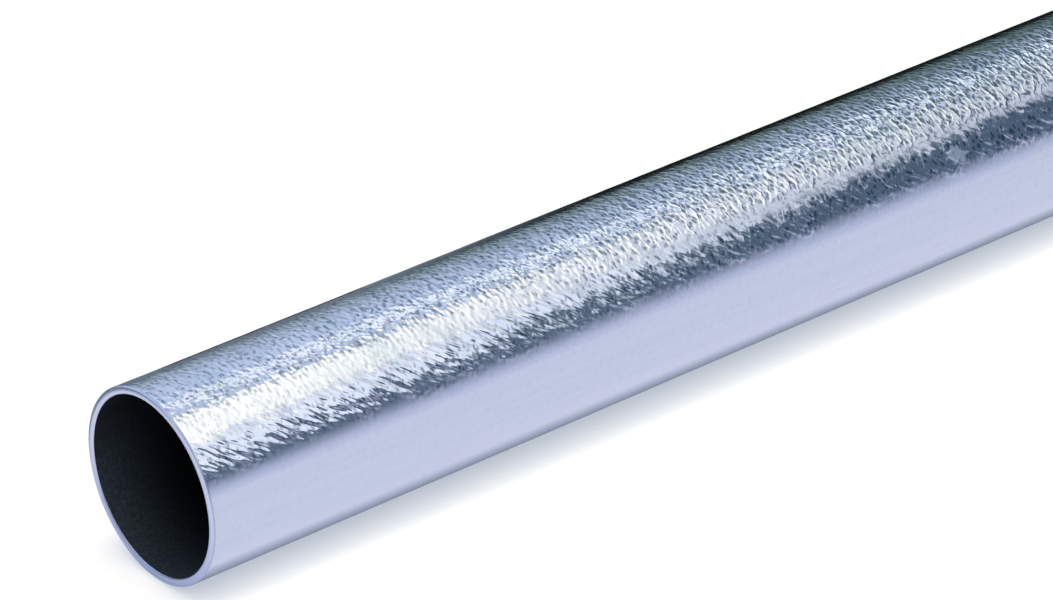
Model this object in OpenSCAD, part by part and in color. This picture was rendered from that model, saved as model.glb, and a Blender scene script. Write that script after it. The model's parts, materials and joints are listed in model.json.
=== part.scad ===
// A length of thin-walled galvanised round steel tube, lying on its side.
//
// The tube is one rolled piece with square-cut ends. It lies along X and touches the ground plane
// z = 0 along its lowest line. The origin is on that line, half way along the tube.

/* [Tube] */
// Outside diameter
outer_d = 48.3; // [20:0.1:120]
// Thickness of the rolled wall
wall = 2.0; // [1:0.1:6]
// Length between the two cut ends
length = 1000; // [200:10:6000]

/* [Cut ends] */
// Radius that the outer edge of each end is broken to
rim_round_r = 0.5; // [0.1:0.05:0.6]
// Depth and width of the deburring chamfer round each mouth of the bore
bore_chamfer = 0.3; // [0.05:0.05:0.35]

/* [Hidden] */

outer_r = outer_d / 2;
bore_r = outer_r - wall;
round_steps = 48;
turn_steps = 192;

// The wall cut through its length, with the radius along X and the tube's length along Y
module wall_section() {
    difference() {
        union() {
            translate([bore_r, 0]) square([wall - rim_round_r, length]);
            translate([bore_r, rim_round_r]) square([wall, length - 2 * rim_round_r]);
            for (y = [rim_round_r, length - rim_round_r])
                translate([outer_r - rim_round_r, y]) circle(r = rim_round_r, $fn = round_steps);
        }
        mouth_chamfer();
        translate([0, length]) mirror([0, 1]) mouth_chamfer();
    }
}

// What the deburring tool takes off the edge between the bore and the end at y = 0
module mouth_chamfer() {
    polygon([
        [bore_r - bore_chamfer, -bore_chamfer],
        [bore_r + 2 * bore_chamfer, -bore_chamfer],
        [bore_r - bore_chamfer, 2 * bore_chamfer]
    ]);
}

module tube() {
    color("lightsteelblue")
        translate([-length / 2, 0, outer_r])
            rotate([0, 90, 0])
                rotate_extrude($fn = turn_steps)
                    wall_section();
}

tube();
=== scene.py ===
"""Galvanised tube maker: a length of rippled zinc-coated steel tube and the studio it lies in.

Laid out as an add-on with one operator for the tube and one for the studio. Run as a script, it
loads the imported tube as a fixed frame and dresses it.
All lengths are in metres. The tube lies along X and rests on the floor at z = 0.
"""

import json
import math

import bpy
import numpy as np
from bpy.props import FloatProperty, FloatVectorProperty, IntProperty, PointerProperty
from bpy.types import Operator, Panel, PropertyGroup
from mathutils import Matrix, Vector, noise


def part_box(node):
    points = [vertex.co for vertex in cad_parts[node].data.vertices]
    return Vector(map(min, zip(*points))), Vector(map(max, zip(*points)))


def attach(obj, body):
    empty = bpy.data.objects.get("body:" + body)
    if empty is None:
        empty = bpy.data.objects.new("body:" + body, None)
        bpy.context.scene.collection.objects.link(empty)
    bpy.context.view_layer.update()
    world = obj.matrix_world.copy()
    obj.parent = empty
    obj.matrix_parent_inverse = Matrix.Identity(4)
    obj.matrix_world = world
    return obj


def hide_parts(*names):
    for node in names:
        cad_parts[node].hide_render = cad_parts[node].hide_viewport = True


bl_info = {
    "name": "Galvanised tube",
    "version": (1, 0, 0),
    "blender": (4, 5, 0),
    "location": "3D View > Sidebar > Tube",
    "description": "Dresses a length of steel tube in rippled zinc and sets it in a plain studio",
    "category": "Add Mesh",
}

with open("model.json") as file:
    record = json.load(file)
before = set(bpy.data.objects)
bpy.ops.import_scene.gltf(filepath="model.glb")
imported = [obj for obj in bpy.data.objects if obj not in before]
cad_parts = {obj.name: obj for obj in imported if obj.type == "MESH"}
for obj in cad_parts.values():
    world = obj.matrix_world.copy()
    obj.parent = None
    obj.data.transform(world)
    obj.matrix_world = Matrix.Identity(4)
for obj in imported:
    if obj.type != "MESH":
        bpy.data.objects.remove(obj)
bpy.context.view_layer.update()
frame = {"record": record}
NODE = "tube"
MM = 0.001

LOW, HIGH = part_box(NODE)
MOUNTS = {mount["name"]: mount for mount in frame["record"]["mounts"]}
OUTSIDE = MOUNTS["outside"]["dims"]
BORE = MOUNTS["bore"]["dims"]
TUBE_LENGTH = HIGH.x - LOW.x
OUTER_R = OUTSIDE["r_mm"] * MM
BORE_R = BORE["r_mm"] * MM
RIM_ROUND = (TUBE_LENGTH - OUTSIDE["length_mm"] * MM) / 2
BORE_CHAMFER = (TUBE_LENGTH - BORE["length_mm"] * MM) / 2
AXIS_Z = OUTER_R

# The texture map: the outside in three sheets, the bore and the two cut ends, with gaps between
OUTSIDE_SHEETS = 3
SHEET_GAP = 0.006
SHEET_HEIGHTS = {0: 0.272, 1: 0.272, 2: 0.272, "bore": 0.11, "near": 0.014, "far": 0.014}

# Broad lumps: size against the lump length, share of the depth, and offset in the noise
LUMP_LAYERS = ((1.0, 0.6, 0.0), (0.55, 0.4, 31.7))
LUMP_GAIN = 1.6

# The lumps grow to their full depth over this distance from each rounded edge
LUMP_FADE = 4 * RIM_ROUND

# Rings on each rounded outer edge
ROUND_STEPS = 6

# How many times longer each relief is across the tube than along it
LUMP_STRETCH = 1.5
RIPPLE_STRETCH = 1.35
PIT_STRETCH = 1.5
RUN_STRETCH = 1.7
PATCH_STRETCH = 1.6
CRUST_STRETCH = 1.2

# Lengths along the tube of the reliefs and patches that have no setting of their own, in metres
PATCH_LENGTH = 0.009
RAGGED_LENGTH = 0.006
CRUST_LUMP_LENGTH = 0.0011
CRUST_EDGE_LENGTH = 0.0016
SPECK_LENGTH = 0.0008

# Detail of each noise, and the offset that keeps it apart from the others
RIPPLE_NOISE = (0.0, 0.0)
RUN_NOISE = (1.0, 7.3)
PATCH_NOISE = (3.0, 3.1)
STREAK_NOISE = (1.0, 1.7)
RAGGED_NOISE = (2.0, 5.9)
CRUST_LUMP_NOISE = (1.0, 2.7)
CRUST_EDGE_NOISE = (1.0, 8.5)
SPECK_NOISE = (2.0, 0.0)
NOISE_ROUGHNESS = 0.45

# The part of its noise over which a patch or a streak fades in
NOISE_SPREAD = (-0.2, 0.2)

# Stretches over which the zinc changes, from and to these distances from the near end
PITTING_STRETCH = (0.04, 0.2)
STRENGTH_STRETCH = (0.0, 0.2)
RUNS_STRETCH = (0.09, 0.22)

# Shares at the start and at the end of such a stretch
RIPPLE_SHARES = (0.95, 0.45)
HOLLOW_SHARES = (0.15, 0.8)
STRENGTH_SHARES = (0.85, 1.25)
RUN_SHARES = (1.0, 0.85)

# A zone beside a line along the tube starts and is full at these degrees from the line
RUN_ZONE = (14, 6)
HIGHLIGHT_BAND_ZONE = (14, 4)

# The smooth side's edge: half the angle that it fades over, and how far its noise moves it
SMOOTH_EDGE = math.radians(5)
EDGE_RAGGEDNESS = 0.16

# The painted highlight band at the near end, where the relief is smoothed and the pits' painted
# shade fades: the share of its length that has this in full, and the share it takes away
HIGHLIGHT_BAND_FULL = 0.6
HIGHLIGHT_BAND_AWAY = 0.6

# Share of the ripple that is left among the runs
RIPPLE_IN_RUNS = 0.3

# The calm line above the runs, away from the near end, and the calmer back of the tube
CALM_LINE = math.radians(41)
CALM_ZONE = (7, 2)
CALM_STRETCH = (0.08, 0.2)
CALM_AWAY = 0.7
BACK_LINE = math.radians(-22)
BACK_ZONE = (34, 8)
BACK_AWAY = 0.55

# Pits: how far noise moves them, and the core where their painted shade is full and the edge where
# it ends, all in cells
PIT_BEND = 1.3
PIT_BEND_SCALE = 0.6
PIT_CORE = 0.22
PIT_EDGE = 0.4

# How strongly the painted shade in the pits, the streaks' colour and the crust's colour cover the
# zinc, and how metallic the crust is
PIT_SHADE_STRENGTH = 0.9
STREAK_DARKNESS = 0.3
CRUST_COVER = 0.85
CRUST_METAL = 0.5

# The crusted patch's core and rim, in its radius, and how far noise moves them
CRUST_CORE = 0.3
CRUST_RIM = 1.2
CRUST_RAGGEDNESS = 2.0

# A cut end gets painted shade, darker and bluer, past these radii towards its rounded outer edge,
# and past these cosines from straight down
RIM_SHADE_RADII = (OUTER_R - 0.5 * RIM_ROUND, OUTER_R - 0.1 * RIM_ROUND)
RIM_SHADE_LOW = (-0.2, 0.9)

# How deep into each end of the bore the painted light on its specks reaches, and its weakest
# shares deep inside and high up
MOUTH_LIGHT_DEPTH = 0.028
SPECK_LIGHT_INSIDE = 0.02
SPECK_LIGHT_ABOVE = 0.15

# The cosines from straight down over which that painted light grows, the part of the specks' noise
# used, and the shares it gives
SPECK_LIGHT_LOW = (-0.5, 0.6)
SPECK_SPREAD = (-0.3, 0.3)
SPECK_SHARES = (0.5, 1.0)
BORE_SPECULAR = 0.09

# Outlines of the cards over the tube, as (x, y), and where along X their light changes
BACK_PANEL = ((-0.1, 0.35), (0.8, 0.35), (0.8, 0.50), (-0.1, 0.55))
KEY_PANEL = ((-1.0, -0.53), (0.68, -0.655), (0.9, 0.11), (-1.0, 0.11))
FRONT_CARD = ((-0.75, -0.30), (-0.08, -0.30), (-0.08, -0.135), (-0.75, -0.135))
BACK_FADE = (0.1, 0.5)
KEY_FADE = (0.03, 0.36)
FRONT_FADE = (-0.28, -0.08)

# The leaning cards behind the tube: their ends along X, and foot and top as (y, z)
FLAG_ENDS = (-0.7, 0.9)
FLAG_FOOT = (0.06, 0.0)
FLAG_TOP = (0.12, 0.051)
FLAG_FADE = (-0.385, -0.295)
STRIP_ENDS = (-0.445, -0.385)
STRIP_FOOT = (0.068, 0.009)
STRIP_TOP = (0.085, 0.021)

# The floor's contact shade: its reach, its rays, and the share of the glow that is never shaded
SHADE_REACH = 0.008
SHADE_RAYS = 8
UNSHADED_SEEN = 0.5
UNSHADED_MIRRORED = 0.08
FLOOR_ROUGHNESS = 0.9

# The dim room: which way is beyond the far end, and where its parts change into each other
BEYOND_WAY = (2.6, 0.0, -0.7)
BEYOND_RANGE = (0.78, 1.52)
FRONT_RISE = (0.0, 0.38)
FRONT_TO_BACK = (-0.3, 0.4)

# The camera's sensor width in millimetres, and how far it sees
SENSOR_WIDTH = 36.0
SIGHT = 200.0


# ---------------------------------------------------------------- settings


class TubeShape(PropertyGroup):
    """Sizes of the zinc relief and of the mesh that carries it"""

    steps_round: IntProperty(
        name="Steps round", description="Faces round the tube", default=96, min=24, max=256,
    )
    fine_step: FloatProperty(
        name="Fine step", description="Spacing of the rings on the near third of the tube",
        default=0.00075, min=0.0002, precision=5, unit="LENGTH",
    )
    coarse_step: FloatProperty(
        name="Coarse step", description="Spacing of the rings on the other two thirds",
        default=0.0015, min=0.0002, precision=5, unit="LENGTH",
    )
    bore_step: FloatProperty(
        name="Bore step", description="Spacing of the rings in the bore",
        default=0.025, min=0.001, unit="LENGTH",
    )
    lump_depth: FloatProperty(
        name="Lump depth", description="Depth of the broad lumps in the zinc",
        default=0.00007, min=0.0, precision=6, unit="LENGTH",
    )
    lump_length: FloatProperty(
        name="Lump length", description="Length of a broad lump along the tube",
        default=0.0045, min=0.0005, precision=5, unit="LENGTH",
    )
    ripple_depth: FloatProperty(
        name="Ripple depth", description="Depth of the fine ripple in the zinc",
        default=0.00018, min=0.0, precision=6, unit="LENGTH",
    )
    ripple_length: FloatProperty(
        name="Ripple length", description="Half the length of one ripple along the tube",
        default=0.0011, min=0.0002, precision=5, unit="LENGTH",
    )
    ripple_slant: FloatProperty(
        name="Ripple slant", description="Slant of the ripple from straight round the tube",
        default=math.radians(5), min=0.0, max=math.radians(60), subtype="ANGLE",
    )
    pit_length: FloatProperty(
        name="Pit spacing", description="Spacing of the dark pits along the tube",
        default=0.0013, min=0.0002, precision=5, unit="LENGTH",
    )
    run_depth: FloatProperty(
        name="Run depth", description="Depth of the slanting runs where the zinc drained off",
        default=0.00065, min=0.0, precision=6, unit="LENGTH",
    )
    run_length: FloatProperty(
        name="Run width", description="Half the spacing of the runs along the tube",
        default=0.0022, min=0.0002, precision=5, unit="LENGTH",
    )
    slant: FloatProperty(
        name="Slant", description="Slant of the runs from straight round the tube",
        default=math.radians(45), min=0.0, max=math.radians(60), subtype="ANGLE",
    )
    run_angle: FloatProperty(
        name="Run line", description="Angle round the tube from its top of the deepest runs",
        default=math.radians(50), subtype="ANGLE",
    )
    smooth_angle: FloatProperty(
        name="Smooth side", description="Angle round the tube from its top of its smooth side",
        default=math.radians(102), subtype="ANGLE",
    )
    smooth_half: FloatProperty(
        name="Smooth half width", description="Angle from the smooth side's middle to its edge",
        default=math.radians(41), subtype="ANGLE",
    )
    streak_length: FloatProperty(
        name="Streak length", description="Length of the faint streaks on the smooth side",
        default=0.07, min=0.001, unit="LENGTH",
    )
    streak_width: FloatProperty(
        name="Streak width", description="Width of the faint streaks on the smooth side",
        default=0.0016, min=0.0002, precision=4, unit="LENGTH",
    )
    # The painted highlight band at the near end, where the key light is brightest: the relief is
    # smoothed and the pits' painted shade fades there
    highlight_band_length: FloatProperty(
        name="Rubbed length", description="Length of the smoother stretch at the near end",
        default=0.13, min=0.0, unit="LENGTH",
    )
    highlight_band_angle: FloatProperty(
        name="Rubbed line", description="Angle round the tube from its top of the rubbed stretch",
        default=math.radians(37), subtype="ANGLE",
    )
    crust_place: FloatProperty(
        name="Crust place", description="Distance of the crusted patch from the near end",
        default=0.2305, min=0.0, unit="LENGTH",
    )
    crust_angle: FloatProperty(
        name="Crust angle", description="Angle round the tube from its top of the crusted patch",
        default=math.radians(54), subtype="ANGLE",
    )
    crust_radius: FloatProperty(
        name="Crust radius", description="Radius of the crusted patch", default=0.0031,
        min=0.0005, precision=4, unit="LENGTH",
    )
    crust_depth: FloatProperty(
        name="Crust depth", description="Height of the lumps in the crusted patch",
        default=0.00007, min=0.0, precision=6, unit="LENGTH",
    )
    smooth_share: FloatProperty(
        name="Smooth share", description="Share of the relief that is left on the smooth side",
        default=0.06, min=0.0, max=1.0,
    )


class TubeFinish(PropertyGroup):
    """Colours and gloss of the zinc, the cut ends and the bore, with painted shade in the pits and
    on the cut ends and painted light in the bore
    """

    zinc_pale: FloatVectorProperty(
        name="Pale zinc", description="Colour of the bright zinc", subtype="COLOR", size=3,
        default=(0.54, 0.58, 0.77), min=0.0, max=1.0,
    )
    zinc_deep: FloatVectorProperty(
        name="Deep zinc", description="Colour of the zinc in its duller patches", subtype="COLOR",
        size=3, default=(0.46, 0.52, 0.68), min=0.0, max=1.0,
    )
    # Painted shade: this dark colour in the pits stands in for the dim room that the pits' slopes
    # reflect
    pit_shade_colour: FloatVectorProperty(
        name="Pitted zinc", description="Colour of the zinc in its pits", subtype="COLOR", size=3,
        default=(0.17, 0.22, 0.34), min=0.0, max=1.0,
    )
    crust_colour: FloatVectorProperty(
        name="Crusted zinc", description="Colour of the small crusted patch", subtype="COLOR",
        size=3, default=(0.35, 0.45, 0.66), min=0.0, max=1.0,
    )
    zinc_roughness: FloatProperty(
        name="Zinc roughness", description="Roughness of the zinc", default=0.16, min=0.0, max=1.0,
    )
    rim_colour: FloatVectorProperty(
        name="Cut end", description="Colour of the cut ends", subtype="COLOR", size=3,
        default=(0.55, 0.60, 0.82), min=0.0, max=1.0,
    )
    # Painted shade: the cut end's colour along its rounded outer edge and low down, where it is
    # shaded
    rim_shade_colour: FloatVectorProperty(
        name="Cut edge", description="Colour of a cut end low down and along its outer edge",
        subtype="COLOR", size=3, default=(0.36, 0.41, 0.65), min=0.0, max=1.0,
    )
    rim_roughness: FloatProperty(
        name="Cut end roughness", description="Roughness of the cut ends", default=0.34, min=0.0,
        max=1.0,
    )
    # Near-black, the same all through the bore
    bore_colour: FloatVectorProperty(
        name="Bore", description="Colour of the dark mill skin in the bore", subtype="COLOR",
        size=3, default=(0.002, 0.0024, 0.003), min=0.0, max=1.0,
    )
    # Painted light: the specks turn this paler colour only low down near the bore's ends, where
    # light from outside falls in
    lit_bore_specks: FloatVectorProperty(
        name="Pale bore", description="Colour of the paler specks in the bore", subtype="COLOR",
        size=3, default=(0.032, 0.046, 0.068), min=0.0, max=1.0,
    )
    bore_roughness: FloatProperty(
        name="Bore roughness", description="Roughness of the bore", default=0.55, min=0.0, max=1.0,
    )


class Studio(PropertyGroup):
    """Sizes and brightness of the camera, the floor and the lights"""

    lens: FloatProperty(
        name="Lens", description="Focal length in millimetres", default=191.0, min=20.0,
    )
    camera_offset: FloatVectorProperty(
        name="Camera offset", size=3, default=(-12.7245, -18.2744, 13.8407),
        description="Camera from the near end's centre, in outside diameters",
    )
    aim_offset: FloatVectorProperty(
        name="Aim offset", size=3, default=(2.280, 0.0, 0.175),
        description="Aim point from the near end's centre, in outside diameters",
    )
    floor_size: FloatProperty(
        name="Floor size", description="Width of the floor", default=60.0, unit="LENGTH",
    )
    floor_colour: FloatVectorProperty(
        name="Floor", description="Colour of the floor", subtype="COLOR", size=3,
        default=(0.15, 0.15, 0.15), min=0.0, max=1.0,
    )
    floor_glow: FloatProperty(
        name="Floor glow", description="Brightness that the backlit floor gives by itself",
        default=0.92, min=0.0,
    )
    shade_tint: FloatVectorProperty(
        name="Shade tint", description="Tint of the floor's glow close under the tube", size=3,
        default=(0.80, 0.95, 1.25), min=0.0,
    )
    floor_mirrored: FloatProperty(
        name="Floor mirrored", description="Floor glow that the tube's reflections see",
        default=0.885, min=0.0,
    )
    panel_height: FloatProperty(
        name="Panel height", description="Height of the light panels over the tube's axis",
        default=0.976, unit="LENGTH",
    )
    card_height: FloatProperty(
        name="Card height", description="Height of the front card over the tube's axis",
        default=0.2, unit="LENGTH",
    )
    back_near: FloatVectorProperty(
        name="Back panel", description="Brightness of the panel behind, over the near end", size=3,
        default=(1.7, 1.65, 1.4), min=0.0,
    )
    back_far: FloatVectorProperty(
        name="Back far", description="Brightness of the panel behind towards its far edge", size=3,
        default=(2.15, 2.15, 1.9), min=0.0,
    )
    card_radiance: FloatVectorProperty(
        name="Front card", size=3, default=(1.5, 1.5, 1.4), min=0.0,
        description="Brightness of the low card in front of the near end",
    )
    key_near: FloatVectorProperty(
        name="Key panel", description="Brightness of the key panel over the near end", size=3,
        default=(2.1, 1.95, 1.45), min=0.0,
    )
    key_far: FloatVectorProperty(
        name="Key far", description="Brightness of the key panel towards its far edge", size=3,
        default=(1.12, 1.12, 1.02), min=0.0,
    )
    room_front: FloatVectorProperty(
        name="Room in front", size=3, default=(0.11, 0.17, 0.21), min=0.0,
        description="Brightness of the dim room in front of the tube",
    )
    room_back: FloatVectorProperty(
        name="Room behind", description="Brightness of the dim room behind the near end", size=3,
        default=(0.92, 1.03, 1.12), min=0.0,
    )
    room_far: FloatVectorProperty(
        name="Room beyond", description="Brightness of the dim room beyond the far end", size=3,
        default=(0.12, 0.19, 0.155), min=0.0,
    )
    horizon: FloatVectorProperty(
        name="Horizon", description="Brightness where the pale floor curves up in front", size=3,
        default=(0.88, 0.89, 0.97), min=0.0,
    )
    flag_near: FloatVectorProperty(
        name="Flag near", description="Brightness of the low flag behind the near end", size=3,
        default=(0.20, 0.24, 0.27), min=0.0,
    )
    flag_far: FloatVectorProperty(
        name="Flag far", description="Brightness of the low flag further along the tube", size=3,
        default=(0.004, 0.006, 0.003), min=0.0,
    )
    ambient: FloatProperty(
        name="Ambient", description="Brightness of the soft light from all round", default=0.5,
    )


# ---------------------------------------------------------------- tube mesh


def round_way(angle):
    """Direction square to the tube, at this angle from its top towards -Y."""
    return Vector((0.0, -math.sin(angle), math.cos(angle)))


def relief_axes(length, stretch, slant, centre):
    """The three axes of a relief's own space: along the tube, and twice across it.

    The first one leans by the slant at the centre angle. As the axes are straight lines through
    the tube, the relief has no seam round it.
    """
    along = Vector((1.0, 0.0, 0.0)) + math.tan(slant) * round_way(centre - math.pi / 2)
    across = 1.0 / (length * stretch)
    return along / length, Vector((0.0, across, 0.0)), Vector((0.0, 0.0, across))


def streak_axes(shape):
    """The axes of the faint streaks that drawing leaves along the tube."""
    along = 1.0 / shape.streak_length
    across = 1.0 / shape.streak_width
    return Vector((along, 0, 0)), Vector((0, across, 0)), Vector((0, 0, across))


def smooth_step(low, high, value):
    """0 below low, 1 above high, and smooth between."""
    part = np.clip((value - low) / (high - low), 0.0, 1.0)
    return part * part * (3.0 - 2.0 * part)


def smooth_limits(shape):
    """Cosines from the smooth side's middle to where its smoothness starts and is full."""
    return math.cos(shape.smooth_half + SMOOTH_EDGE), math.cos(shape.smooth_half - SMOOTH_EDGE)


def zinc_depth(shape, points):
    """How far each point of the outside lies under the crests of the zinc."""
    depth = np.zeros(len(points))
    for size, share, offset in LUMP_LAYERS:
        length = shape.lump_length * size
        axes = np.array(relief_axes(length, LUMP_STRETCH, shape.slant, shape.run_angle))
        places = points @ axes.T + offset
        depth += share * np.array([noise.noise(place) for place in places])
    past_end = np.abs(points[:, 0] - (LOW.x + HIGH.x) / 2) - TUBE_LENGTH / 2
    fade = smooth_step(0.0, LUMP_FADE, -past_end - RIM_ROUND)
    away = (points - (0.0, 0.0, AXIS_Z)) @ np.array(round_way(shape.smooth_angle)) / OUTER_R
    fade *= 1.0 - (1.0 - shape.smooth_share) * smooth_step(*smooth_limits(shape), away)
    return shape.lump_depth * (0.5 + 0.5 * np.clip(depth * LUMP_GAIN, -1.0, 1.0)) * fade


def spaced(start, end, step):
    """Even places from start up to but without end, at most step apart."""
    count = max(int(math.ceil(abs(end - start) / step - 1e-9)), 1)
    return list(np.linspace(start, end, count + 1)[:-1])


def wall_profile(shape):
    """The wall's closed outline as (x, radius, finish, sheet) steps.

    It goes along the outside to the far end and back through the bore. Each step names the finish
    and the sheet of the texture map that the wall has from there to the next step.
    """
    near, far = LOW.x, HIGH.x
    outside_near, outside_far = near + RIM_ROUND, far - RIM_ROUND
    cuts = np.linspace(outside_near, outside_far, OUTSIDE_SHEETS + 1)
    rows = []
    for sheet in range(OUTSIDE_SHEETS):
        step = shape.coarse_step if sheet else shape.fine_step
        rows += [(x, OUTER_R, "zinc", sheet) for x in spaced(cuts[sheet], cuts[sheet + 1], step)]
    turn = np.linspace(0.0, math.pi / 2, ROUND_STEPS)
    centre_r = OUTER_R - RIM_ROUND
    rows += [
        (outside_far + RIM_ROUND * math.sin(a), centre_r + RIM_ROUND * math.cos(a), "rim", "far")
        for a in turn
    ]
    rows += [(far, BORE_R + BORE_CHAMFER, "rim", "far")]
    rows += [
        (x, BORE_R, "bore", "bore")
        for x in spaced(far - BORE_CHAMFER, near + BORE_CHAMFER, shape.bore_step)
    ]
    rows += [(near + BORE_CHAMFER, BORE_R, "rim", "near")]
    rows += [(near, BORE_R + BORE_CHAMFER, "rim", "near")]
    rows += [
        (outside_near - RIM_ROUND * math.cos(a), centre_r + RIM_ROUND * math.sin(a), "rim", "near")
        for a in turn[:-1]
    ]
    return rows


def sheet_map(rows, steps):
    """Texture coordinates of every face's four corners, each sheet laid flat in its own box."""
    boxes, top = {}, SHEET_GAP
    for sheet, height in SHEET_HEIGHTS.items():
        boxes[sheet] = (top, top + height)
        top += height + SHEET_GAP
    start, width = SHEET_GAP, 1.0 - 2 * SHEET_GAP
    round_share = np.arange(steps + 1) / steps
    corners = []
    for sheet in dict.fromkeys(row[3] for row in rows):
        first = [row[3] for row in rows].index(sheet)
        count = sum(row[3] == sheet for row in rows)
        outline = [rows[(first + i) % len(rows)][:2] for i in range(count + 1)]
        lengths = np.hypot(*np.diff(np.array(outline), axis=0).T)
        along_share = np.concatenate([[0.0], np.cumsum(lengths)]) / lengths.sum()
        low, high = boxes[sheet]
        along, turn = np.meshgrid(along_share, round_share, indexing="ij")
        if sheet in ("near", "far"):
            along, turn = turn, along
        spots = np.stack([start + along * width, low + turn * (high - low)], -1)
        four = [spots[:-1, :-1], spots[:-1, 1:], spots[1:, 1:], spots[1:, :-1]]
        corners.append(np.stack(four, 2).reshape(-1, 2))
    return np.concatenate(corners)


def tube_mesh(shape):
    """The whole tube as one closed mesh: the profile turned round, from its lowest line."""
    rows = wall_profile(shape)
    steps = shape.steps_round
    turn = np.linspace(-math.pi, math.pi, steps, endpoint=False)
    x = np.repeat([row[0] for row in rows], steps)
    radius = np.repeat([row[1] for row in rows], steps)
    angle = np.tile(turn, len(rows))
    points = np.stack([x, -radius * np.sin(angle), AXIS_Z + radius * np.cos(angle)], 1)
    outside = np.repeat([row[2] == "zinc" for row in rows], steps)
    radius[outside] -= zinc_depth(shape, points[outside])
    points[:, 1] = -radius * np.sin(angle)
    points[:, 2] = AXIS_Z + radius * np.cos(angle)
    row, step = np.meshgrid(np.arange(len(rows)), np.arange(steps), indexing="ij")
    next_row, next_step = (row + 1) % len(rows), (step + 1) % steps
    corners = [(row, step), (row, next_step), (next_row, next_step), (next_row, step)]
    faces = np.stack([(r * steps + s).ravel() for r, s in corners], 1)
    mesh = bpy.data.meshes.new("tube_skin")
    mesh.from_pydata(points.tolist(), [], faces.tolist())
    finishes = ["zinc", "rim", "bore"]
    index = np.repeat([finishes.index(r[2]) for r in rows], steps)
    mesh.polygons.foreach_set("material_index", index.astype(np.int32))
    mesh.polygons.foreach_set("use_smooth", np.ones(len(faces), bool))
    layer = mesh.uv_layers.new(name="OFBake")
    layer.data.foreach_set("uv", sheet_map(rows, steps).astype(np.float32).ravel())
    mesh.update()
    return mesh


# ---------------------------------------------------------------- materials


def new_material(name):
    """An empty node material with its shader joined to the output."""
    material = bpy.data.materials.new(name)
    material.use_nodes = True
    nodes = material.node_tree.nodes
    nodes.clear()
    shader = nodes.new("ShaderNodeBsdfPrincipled")
    output = nodes.new("ShaderNodeOutputMaterial")
    material.node_tree.links.new(shader.outputs["BSDF"], output.inputs["Surface"])
    return material, shader


def add_node(tree, kind, inputs=(), **settings):
    """A node with its settings made and its inputs set or linked."""
    node = tree.nodes.new(kind)
    for key, value in settings.items():
        setattr(node, key, value)
    for key, value in dict(inputs).items():
        if isinstance(value, bpy.types.NodeSocket):
            tree.links.new(value, node.inputs[key])
        else:
            node.inputs[key].default_value = value
    return node


def math_node(tree, operation, first, second):
    """Node output of one sum on two values."""
    return add_node(tree, "ShaderNodeMath", {0: first, 1: second}, operation=operation).outputs[0]


def multiply_add(tree, value, factor, base):
    """Node output of value times factor plus base."""
    return add_node(
        tree, "ShaderNodeMath", {0: value, 1: factor, 2: base}, operation="MULTIPLY_ADD",
    ).outputs[0]


def mapped(tree, value, low, high, to_low=0.0, to_high=1.0):
    """Node output that eases from to_low at low to to_high at high."""
    return add_node(
        tree, "ShaderNodeMapRange",
        {"Value": value, "From Min": low, "From Max": high, "To Min": to_low, "To Max": to_high},
        interpolation_type="SMOOTHSTEP",
    ).outputs["Result"]


def mixed(tree, factor, first, second):
    """Node output between two colours, each of which is a node output or three numbers."""
    first, second = [
        colour if isinstance(colour, bpy.types.NodeSocket) else (*colour, 1.0)
        for colour in (first, second)
    ]
    return add_node(
        tree, "ShaderNodeMix", {"Factor": factor, "A": first, "B": second}, data_type="RGBA",
    ).outputs["Result"]


def object_place(tree):
    """Node output of a point's place in the tube's own frame."""
    return add_node(tree, "ShaderNodeTexCoord").outputs["Object"]


def vector_math(tree, operation, output, *values):
    """The named output of one sum on vectors."""
    inputs = dict(enumerate(values))
    return add_node(tree, "ShaderNodeVectorMath", inputs, operation=operation).outputs[output]


def place_x(tree):
    """Node output of a point's place along the tube."""
    return add_node(tree, "ShaderNodeSeparateXYZ", {0: object_place(tree)}).outputs["X"]


def along_share(tree, stretch, shares):
    """Node output that eases from one share to the other over a stretch of the tube."""
    start, end = stretch
    return mapped(tree, place_x(tree), LOW.x + start, LOW.x + end, *shares)


def out_of_axis(tree):
    """Node output of the way from the middle of the tube's axis to a point."""
    return vector_math(tree, "SUBTRACT", "Vector", object_place(tree), (0.0, 0.0, AXIS_Z))


def away_share(tree, angle):
    """Node output of the cosine between a point's way out of the axis and this angle's way."""
    way = round_way(angle) / OUTER_R
    return vector_math(tree, "DOT_PRODUCT", "Value", out_of_axis(tree), way)


def zone_share(tree, angle, zone):
    """Node output that is 1 along the line at this angle and 0 outside the zone beside it."""
    start, full = [math.cos(math.radians(degrees)) for degrees in zone]
    return mapped(tree, away_share(tree, angle), start, full)


def own_space(tree, axes, offset):
    """Node output of a point's place in a relief's own space."""
    place = object_place(tree)
    parts = [
        math_node(tree, "ADD", vector_math(tree, "DOT_PRODUCT", "Value", place, axis), offset)
        for axis in axes
    ]
    return add_node(tree, "ShaderNodeCombineXYZ", dict(enumerate(parts))).outputs[0]


def relief(tree, axes, detail, offset):
    """Node output of noise in a relief's own space, between about -0.5 and 0.5."""
    place = own_space(tree, axes, offset)
    grain = add_node(
        tree, "ShaderNodeTexNoise",
        {"Vector": place, "Scale": 1.0, "Detail": detail, "Roughness": NOISE_ROUGHNESS},
    ).outputs[0]
    return math_node(tree, "SUBTRACT", grain, 0.5)


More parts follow.
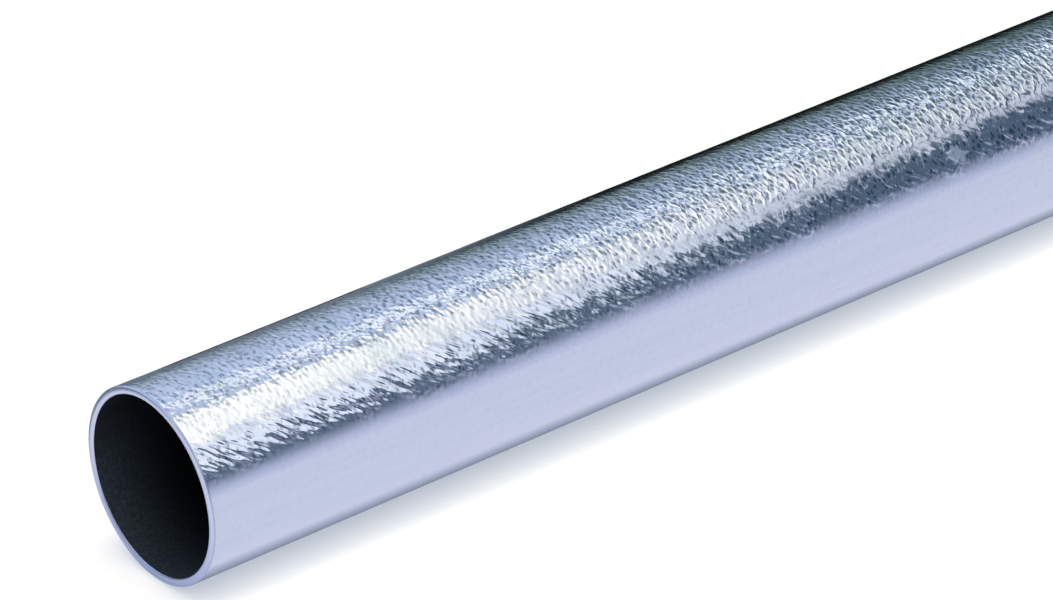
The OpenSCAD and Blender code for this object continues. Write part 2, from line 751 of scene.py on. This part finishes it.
def cells(tree, axes):
    """Node output of the distance to the nearest of many scattered points, in its own space.

    A soft noise moves each place first, which makes the cells uneven.
    """
    place = own_space(tree, axes, 0.0)
    push = add_node(
        tree, "ShaderNodeTexNoise", {"Vector": place, "Scale": PIT_BEND_SCALE, "Detail": 1.0},
    )
    push = vector_math(tree, "SUBTRACT", "Vector", push.outputs["Color"], (0.5, 0.5, 0.5))
    bent = vector_math(tree, "MULTIPLY_ADD", "Vector", push, (PIT_BEND, PIT_BEND, PIT_BEND), place)
    return add_node(
        tree, "ShaderNodeTexVoronoi", {"Vector": bent, "Scale": 1.0, "Randomness": 1.0},
    ).outputs["Distance"]


def crust_share(tree, shape):
    """Node output of the one small patch of crusted zinc: 1 in it, 0 outside it."""
    middle = round_way(shape.crust_angle) * OUTER_R
    middle += Vector((LOW.x + shape.crust_place, 0.0, AXIS_Z))
    gap = vector_math(tree, "DISTANCE", "Value", object_place(tree), middle)
    ragged = relief(tree, relief_axes(CRUST_EDGE_LENGTH, 1.0, 0.0, 0.0), *CRUST_EDGE_NOISE)
    gap = multiply_add(tree, ragged, CRUST_RAGGEDNESS * shape.crust_radius, gap)
    core, rim = CRUST_CORE * shape.crust_radius, CRUST_RIM * shape.crust_radius
    return mapped(tree, gap, core, rim, 1.0, 0.0)


def calm_share(tree, shape):
    """Node output of the relief's share: 1 above, and nearly nothing on the smooth side."""
    ragged_axes = relief_axes(RAGGED_LENGTH, 1.0, shape.slant, shape.run_angle)
    ragged = relief(tree, ragged_axes, *RAGGED_NOISE)
    away = multiply_add(tree, ragged, -EDGE_RAGGEDNESS, away_share(tree, shape.smooth_angle))
    return mapped(tree, away, *smooth_limits(shape), 1.0, shape.smooth_share)


def ripple_strength(tree, shape):
    """Node output of the ripple's strength: weaker near the near end, and weakest in the painted
    highlight band, where the pits' painted shade fades as well.
    """
    along = along_share(tree, STRENGTH_STRETCH, STRENGTH_SHARES)
    # Painted highlight: the band where the key light is brightest smooths the relief and fades the
    # pits' painted shade
    highlight_band_stretch = (HIGHLIGHT_BAND_FULL * shape.highlight_band_length, shape.highlight_band_length)
    highlight_band = along_share(tree, highlight_band_stretch, (1.0, 0.0))
    line = zone_share(tree, shape.highlight_band_angle, HIGHLIGHT_BAND_ZONE)
    kept = multiply_add(tree, math_node(tree, "MULTIPLY", highlight_band, line), -HIGHLIGHT_BAND_AWAY, 1.0)
    return math_node(tree, "MULTIPLY", along, kept)


def line_kept(tree):
    """Node output of what the calm line above the runs leaves of the relief and the pits."""
    line = zone_share(tree, CALM_LINE, CALM_ZONE)
    line = math_node(tree, "MULTIPLY", line, along_share(tree, CALM_STRETCH, (0.0, 1.0)))
    return multiply_add(tree, line, -CALM_AWAY, 1.0)


def back_kept(tree):
    """Node output of what the calmer back of the tube leaves of the relief."""
    return multiply_add(tree, zone_share(tree, BACK_LINE, BACK_ZONE), -BACK_AWAY, 1.0)


def zinc_height(tree, shape, pits, rough, strength, crust):
    """Node output of the height of the fine relief, in metres.

    Above the run line it is a ripple that gives way to pits away from the near end. Beside the
    line it is mostly runs, on the smooth side nearly nothing, and in the crusted patch lumps.
    """
    ripple_axes = relief_axes(
        shape.ripple_length, RIPPLE_STRETCH, shape.ripple_slant, shape.run_angle,
    )
    pitting = along_share(tree, PITTING_STRETCH, (0.0, 1.0))
    ripple = relief(tree, ripple_axes, *RIPPLE_NOISE)
    ripple = math_node(tree, "MULTIPLY", ripple, mapped(tree, pitting, 0.0, 1.0, *RIPPLE_SHARES))
    hollows = math_node(tree, "MULTIPLY", pits, pits)
    ripple = multiply_add(tree, hollows, mapped(tree, pitting, 0.0, 1.0, *HOLLOW_SHARES), ripple)
    run_axes = relief_axes(shape.run_length, RUN_STRETCH, shape.slant, shape.run_angle)
    in_runs = zone_share(tree, shape.run_angle, RUN_ZONE)
    ripple_depths = (shape.ripple_depth, RIPPLE_IN_RUNS * shape.ripple_depth)
    ripple_depth = mapped(tree, in_runs, 0.0, 1.0, *ripple_depths)
    run_depths = [share * shape.run_depth for share in RUN_SHARES]
    run_depth = along_share(tree, RUNS_STRETCH, run_depths)
    runs = math_node(tree, "MULTIPLY", relief(tree, run_axes, *RUN_NOISE), in_runs)
    ripple_depth = math_node(tree, "MULTIPLY", ripple_depth, strength)
    height = math_node(tree, "MULTIPLY", ripple, ripple_depth)
    height = multiply_add(tree, runs, run_depth, height)
    kept = math_node(tree, "MULTIPLY", rough, back_kept(tree))
    height = math_node(tree, "MULTIPLY", height, kept)
    lump_axes = relief_axes(CRUST_LUMP_LENGTH, CRUST_STRETCH, 0.0, 0.0)
    lumps = relief(tree, lump_axes, *CRUST_LUMP_NOISE)
    lumps = multiply_add(tree, lumps, shape.crust_depth, 0.5 * shape.crust_depth)
    return multiply_add(tree, crust, lumps, height)


def zinc_colour(tree, shape, finish, pits, calm, rough, strength, crust):
    """Node output of the colour: duller patches, painted shade in the pits, the crust and the
    faint streaks.
    """
    patch_axes = relief_axes(PATCH_LENGTH, PATCH_STRETCH, shape.slant, shape.run_angle)
    patches = relief(tree, patch_axes, *PATCH_NOISE)
    dulled = math_node(tree, "MULTIPLY", mapped(tree, patches, *NOISE_SPREAD), calm)
    colour = mixed(tree, dulled, finish.zinc_pale, finish.zinc_deep)
    # Painted shade in the pits, for the dim room their slopes reflect; it fades in the calm zones
    # and in the painted highlight band at the near end
    pit_shade_share = mapped(tree, pits, PIT_CORE, PIT_EDGE, PIT_SHADE_STRENGTH, 0.0)
    pit_shade_share = math_node(tree, "MULTIPLY", math_node(tree, "MULTIPLY", pit_shade_share, rough), strength)
    colour = mixed(tree, pit_shade_share, colour, finish.pit_shade_colour)
    crusted = math_node(tree, "MULTIPLY", crust, CRUST_COVER)
    colour = mixed(tree, crusted, colour, finish.crust_colour)
    streaks = relief(tree, streak_axes(shape), *STREAK_NOISE)
    streaks = mapped(tree, streaks, *NOISE_SPREAD, 0.0, STREAK_DARKNESS)
    streaked = math_node(tree, "MULTIPLY", streaks, math_node(tree, "SUBTRACT", 1.0, calm))
    return mixed(tree, streaked, colour, finish.zinc_deep)


def zinc_material(shape, finish):
    """Rippled zinc with pits that hold painted shade, with slanting runs at the side and smooth
    below them.
    """
    material, shader = new_material("rippled_zinc")
    tree = material.node_tree
    pit_axes = relief_axes(shape.pit_length, PIT_STRETCH, shape.ripple_slant, shape.run_angle)
    pits = cells(tree, pit_axes)
    calm = calm_share(tree, shape)
    rough = math_node(tree, "MULTIPLY", calm, line_kept(tree))
    strength = ripple_strength(tree, shape)
    crust = crust_share(tree, shape)
    height = zinc_height(tree, shape, pits, rough, strength, crust)
    bump = add_node(
        tree, "ShaderNodeBump", {"Height": height, "Strength": 1.0, "Distance": 1.0},
    )
    colour = zinc_colour(tree, shape, finish, pits, calm, rough, strength, crust)
    tree.links.new(colour, shader.inputs["Base Color"])
    tree.links.new(bump.outputs[0], shader.inputs["Normal"])
    tree.links.new(mapped(tree, crust, 0.0, 1.0, 1.0, CRUST_METAL), shader.inputs["Metallic"])
    shader.inputs["Roughness"].default_value = finish.zinc_roughness
    return material


def rim_material(finish):
    """Cut steel, with painted shade that makes it darker and bluer along its rounded outer edge
    and low down.
    """
    material, shader = new_material("cut_end")
    tree = material.node_tree
    across = vector_math(tree, "MULTIPLY", "Vector", out_of_axis(tree), (0.0, 1.0, 1.0))
    radius = vector_math(tree, "LENGTH", "Value", across)
    # Painted shade along the rounded outer edge and on the lower part of each cut end
    edge = mapped(tree, radius, *RIM_SHADE_RADII)
    low = mapped(tree, away_share(tree, math.pi), *RIM_SHADE_LOW)
    rim_shade = math_node(tree, "MAXIMUM", edge, low)
    colour = mixed(tree, rim_shade, finish.rim_colour, finish.rim_shade_colour)
    tree.links.new(colour, shader.inputs["Base Color"])
    shader.inputs["Metallic"].default_value = 1.0
    shader.inputs["Roughness"].default_value = finish.rim_roughness
    return material


def bore_material(finish):
    """Near-black bore with paler blue specks, which show low down near the mouths: painted light
    where light from outside falls onto the lower wall.
    """
    material, shader = new_material("dark_bore")
    tree = material.node_tree
    off_middle = math_node(tree, "ABSOLUTE", place_x(tree), 0.0)
    # Painted light: the specks are pale only near the ends of the bore and low down, where light
    # from outside falls in
    mouth_light = mapped(tree, off_middle, HIGH.x - MOUTH_LIGHT_DEPTH, HIGH.x, SPECK_LIGHT_INSIDE, 1.0)
    low = mapped(tree, away_share(tree, math.pi), *SPECK_LIGHT_LOW, SPECK_LIGHT_ABOVE, 1.0)
    specks = relief(tree, relief_axes(SPECK_LENGTH, 1.0, 0.0, 0.0), *SPECK_NOISE)
    specks = mapped(tree, specks, *SPECK_SPREAD, *SPECK_SHARES)
    pale = math_node(tree, "MULTIPLY", math_node(tree, "MULTIPLY", specks, mouth_light), low)
    colour = mixed(tree, pale, finish.bore_colour, finish.lit_bore_specks)
    tree.links.new(colour, shader.inputs["Base Color"])
    shader.inputs["Metallic"].default_value = 0.0
    shader.inputs["Roughness"].default_value = finish.bore_roughness
    shader.inputs["Specular IOR Level"].default_value = BORE_SPECULAR
    return material


# ---------------------------------------------------------------- operators


class STOCK_OT_tube(Operator):
    """Build the zinc-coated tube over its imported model"""

    bl_idname = "stock.tube"
    bl_label = "Galvanised tube"

    def execute(self, context):
        shape, finish = context.scene.tube_shape, context.scene.tube_finish
        tube = bpy.data.objects.new("galvanised_tube", tube_mesh(shape))
        context.scene.collection.objects.link(tube)
        tube.data.materials.append(zinc_material(shape, finish))
        tube.data.materials.append(rim_material(finish))
        tube.data.materials.append(bore_material(finish))
        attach(tube, "root")
        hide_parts(NODE)
        return {"FINISHED"}


def add_camera(context, studio):
    """The camera, placed and aimed from the near end's centre."""
    near_centre = Vector((LOW.x, 0.0, AXIS_Z))
    camera = bpy.data.objects.new("camera", bpy.data.cameras.new("camera"))
    context.scene.collection.objects.link(camera)
    camera.data.lens = studio.lens
    camera.data.sensor_width = SENSOR_WIDTH
    camera.data.clip_end = SIGHT
    camera.location = near_centre + Vector(studio.camera_offset) * 2 * OUTER_R
    aim = near_centre + Vector(studio.aim_offset) * 2 * OUTER_R
    camera.rotation_euler = (aim - camera.location).to_track_quat("-Z", "Y").to_euler()
    context.scene.camera = camera


def add_card(context, name, corners, material):
    """A flat card of the studio's, which the camera doesn't see."""
    mesh = bpy.data.meshes.new(name)
    mesh.from_pydata(corners, [], [tuple(range(len(corners)))])
    mesh.materials.append(material)
    card = bpy.data.objects.new(name, mesh)
    context.scene.collection.objects.link(card)
    card.visible_camera = False
    return card


def new_tree(name):
    """An empty node material and its output."""
    material = bpy.data.materials.new(name)
    material.use_nodes = True
    material.node_tree.nodes.clear()
    return material, material.node_tree, add_node(material.node_tree, "ShaderNodeOutputMaterial")


def glow_material(name, near_radiance, far_radiance, fade):
    """Light whose brightness and colour change along X, over the fade's two places."""
    material, tree, output = new_tree(name)
    place = add_node(tree, "ShaderNodeNewGeometry").outputs["Position"]
    x = add_node(tree, "ShaderNodeSeparateXYZ", {0: place}).outputs["X"]
    colour = mixed(tree, mapped(tree, x, *fade), near_radiance, far_radiance)
    glow = add_node(tree, "ShaderNodeEmission", {"Color": colour, "Strength": 1.0})
    tree.links.new(glow.outputs[0], output.inputs["Surface"])
    return material


def add_floor(context, studio):
    """A pale matt floor, which gives some light of its own except close under the tube."""
    half = studio.floor_size / 2
    corners = [(-half, -half, 0), (half, -half, 0), (half, half, 0), (-half, half, 0)]
    material, shader = new_material("pale_floor")
    tree = material.node_tree
    open_share = add_node(
        tree, "ShaderNodeAmbientOcclusion", {"Distance": SHADE_REACH}, samples=SHADE_RAYS,
    ).outputs["AO"]
    mirrored = add_node(tree, "ShaderNodeLightPath").outputs["Is Glossy Ray"]
    glow = mapped(tree, mirrored, 0.0, 1.0, studio.floor_glow, studio.floor_mirrored)
    lift = mapped(tree, mirrored, 0.0, 1.0, UNSHADED_SEEN, UNSHADED_MIRRORED)
    lit_share = multiply_add(tree, open_share, math_node(tree, "SUBTRACT", 1.0, lift), lift)
    glow = math_node(tree, "MULTIPLY", lit_share, glow)
    shader.inputs["Base Color"].default_value = (*studio.floor_colour, 1.0)
    shader.inputs["Roughness"].default_value = FLOOR_ROUGHNESS
    shader.inputs["Specular IOR Level"].default_value = 0.0
    tint = mixed(tree, lit_share, studio.shade_tint, (1.0, 1.0, 1.0))
    tree.links.new(tint, shader.inputs["Emission Color"])
    tree.links.new(glow, shader.inputs["Emission Strength"])
    add_card(context, "floor", corners, material).visible_camera = True


def add_panels(context, studio):
    """Two flat panels overhead and a low card in front of the near end.

    One panel lies along the tube's back. The other is the warm key, brightest over the near end.
    """
    panel_z = AXIS_Z + studio.panel_height
    card_z = AXIS_Z + studio.card_height
    for name, outline, z, near_radiance, far_radiance, fade in (
        ("back_panel", BACK_PANEL, panel_z, studio.back_near, studio.back_far, BACK_FADE),
        ("key_panel", KEY_PANEL, panel_z, studio.key_near, studio.key_far, KEY_FADE),
        ("front_card", FRONT_CARD, card_z, studio.card_radiance, studio.room_front, FRONT_FADE),
    ):
        light = glow_material(name, near_radiance, far_radiance, fade)
        add_card(context, name, [(x, y, z) for x, y in outline], light)


def leaning_corners(ends, foot, top):
    """Corners of a card that runs along X and leans from its foot to its top, both (y, z)."""
    start, end = ends
    return [(start, *foot), (end, *foot), (end, *top), (start, *top)]


def add_flags(context, studio):
    """A low dark flag behind the tube and a small strip before it, which only reflections show."""
    flag_light = glow_material("flag", studio.flag_near, studio.flag_far, FLAG_FADE)
    strip_light = glow_material("flag_strip", studio.flag_far, studio.flag_far, FLAG_FADE)
    for card in (
        add_card(context, "flag", leaning_corners(FLAG_ENDS, FLAG_FOOT, FLAG_TOP), flag_light),
        add_card(
            context, "flag_strip", leaning_corners(STRIP_ENDS, STRIP_FOOT, STRIP_TOP), strip_light,
        ),
    ):
        card.visible_diffuse = False
        card.visible_shadow = False


def add_world(context, studio):
    """Soft light from all round, pale to the camera and a dim room in the tube's reflections."""
    world = bpy.data.worlds.new("studio")
    context.scene.world = world
    world.use_nodes = True
    tree = world.node_tree
    tree.nodes.clear()
    paths = add_node(tree, "ShaderNodeLightPath")
    way = add_node(tree, "ShaderNodeTexCoord").outputs["Generated"]
    parts = add_node(tree, "ShaderNodeSeparateXYZ", {0: way})
    beyond = vector_math(tree, "DOT_PRODUCT", "Value", way, BEYOND_WAY)
    back = mixed(tree, mapped(tree, beyond, *BEYOND_RANGE), studio.room_back, studio.room_far)
    raised = mapped(tree, parts.outputs["Z"], *FRONT_RISE)
    front = mixed(tree, raised, studio.horizon, studio.room_front)
    room = mixed(tree, mapped(tree, parts.outputs["Y"], *FRONT_TO_BACK), front, back)
    white = (1.0, 1.0, 1.0, 1.0)
    pale = add_node(tree, "ShaderNodeBackground", {"Color": white, "Strength": 1.0})
    soft = add_node(tree, "ShaderNodeBackground", {"Color": white, "Strength": studio.ambient})
    dim = add_node(tree, "ShaderNodeBackground", {"Color": room, "Strength": 1.0})
    lit = add_node(
        tree, "ShaderNodeMixShader",
        {0: paths.outputs["Is Glossy Ray"], 1: soft.outputs[0], 2: dim.outputs[0]},
    )
    seen = add_node(
        tree, "ShaderNodeMixShader",
        {0: paths.outputs["Is Camera Ray"], 1: lit.outputs[0], 2: pale.outputs[0]},
    )
    output = add_node(tree, "ShaderNodeOutputWorld")
    tree.links.new(seen.outputs[0], output.inputs["Surface"])


class STOCK_OT_studio(Operator):
    """Set up the floor, the soft light and the camera"""

    bl_idname = "stock.studio"
    bl_label = "Studio"

    def execute(self, context):
        studio = context.scene.tube_studio
        context.scene.view_settings.view_transform = "Standard"
        add_camera(context, studio)
        add_floor(context, studio)
        add_panels(context, studio)
        add_flags(context, studio)
        add_world(context, studio)
        return {"FINISHED"}


class STOCK_PT_tube(Panel):
    """Lists the tube's steps and settings"""

    bl_idname = "STOCK_PT_tube"
    bl_label = "Galvanised tube"
    bl_space_type = "VIEW_3D"
    bl_region_type = "UI"
    bl_category = "Tube"

    def draw(self, context):
        scene = context.scene
        for operator, settings in (
            (STOCK_OT_tube, (scene.tube_shape, scene.tube_finish)),
            (STOCK_OT_studio, (scene.tube_studio,)),
        ):
            box = self.layout.box()
            box.operator(operator.bl_idname)
            for group in settings:
                for name in group.bl_rna.properties.keys():
                    if name not in ("rna_type", "name"):
                        box.prop(group, name)


CLASSES = (TubeShape, TubeFinish, Studio, STOCK_OT_tube, STOCK_OT_studio, STOCK_PT_tube)
GROUPS = {"tube_shape": TubeShape, "tube_finish": TubeFinish, "tube_studio": Studio}


def register():
    """Register the classes and give the scene their settings."""
    for cls in CLASSES:
        bpy.utils.register_class(cls)
    for name, group in GROUPS.items():
        setattr(bpy.types.Scene, name, PointerProperty(type=group))


def unregister():
    """Undo what register did."""
    for name in GROUPS:
        delattr(bpy.types.Scene, name)
    for cls in reversed(CLASSES):
        bpy.utils.unregister_class(cls)


def main():
    """Build the studio and the tube."""
    register()
    bpy.ops.stock.studio()
    bpy.ops.stock.tube()


if __name__ == "__main__":
    main()
